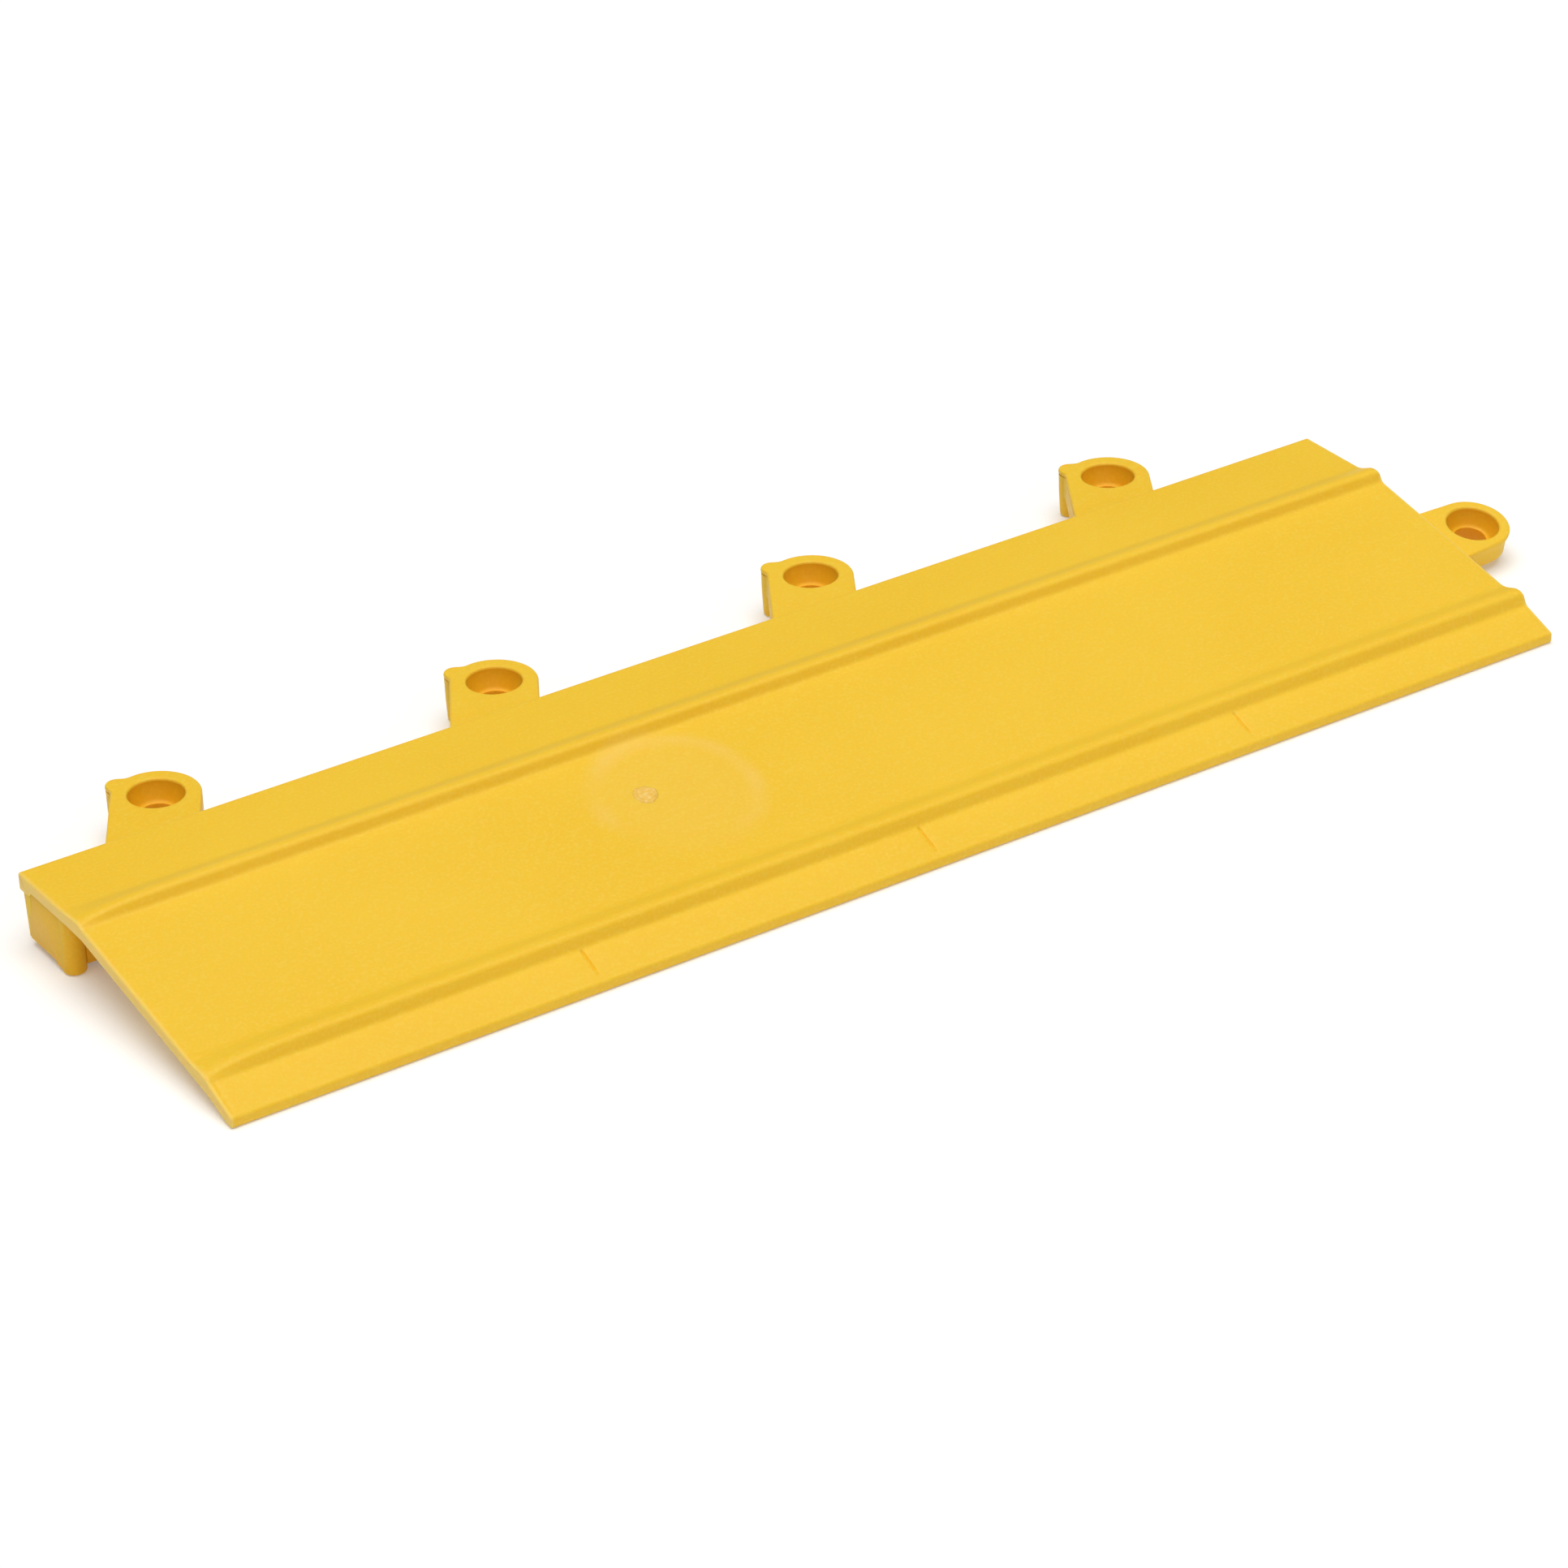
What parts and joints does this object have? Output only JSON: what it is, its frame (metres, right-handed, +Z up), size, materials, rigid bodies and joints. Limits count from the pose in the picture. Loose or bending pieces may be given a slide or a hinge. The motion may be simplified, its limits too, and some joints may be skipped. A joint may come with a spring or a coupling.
{
  "type": "floor tile ramp edging",
  "caption": "Sloped ramp edging for interlocking floor tiles, with tread ridges, slanted tile loops along the tall side and an end loop.",
  "frame": {"origin": "middle of the overall box, at floor level", "axes": "+X along the edging towards the end loop, +Y from the thin toe to the tall tile side, +Z up"},
  "size_m": [0.4884, 0.161, 0.0254],
  "materials": {
    "moulded_body": "satin safety yellow flexible PVC or rubber, fine matt grain",
    "gate_mark": "the same moulding material, slightly paler where the injection gate was trimmed"
  },
  "bodies": {
    "root": {"toe_plate": "moulded_body", "lower_ridge": "moulded_body", "ramp_plate": "moulded_body", "gate_mark": "gate_mark", "upper_ridge": "moulded_body", "shoulder_plate": "moulded_body", "back_rail": "moulded_body", "back_wall": "moulded_body", "left_end_wall": "moulded_body", "right_end_wall": "moulded_body", "right_ramp_wall": "moulded_body", "keel_wall_1": "moulded_body", "keel_wall_2": "moulded_body", "keel_wall_3": "moulded_body", "keel_wall_4": "moulded_body", "foot_post_1": "moulded_body", "foot_post_2": "moulded_body", "foot_post_3": "moulded_body", "foot_post_4": "moulded_body", "foot_post_5": "moulded_body", "back_rib_1": "moulded_body", "back_rib_2": "moulded_body", "back_rib_3": "moulded_body", "ramp_rib_1": "moulded_body", "ramp_rib_2": "moulded_body", "ramp_rib_3": "moulded_body", "tile_loop_1": "moulded_body", "tile_loop_2": "moulded_body", "tile_loop_3": "moulded_body", "tile_loop_4": "moulded_body", "end_loop": "moulded_body", "end_peg": "moulded_body"}
  },
  "joints": []
}
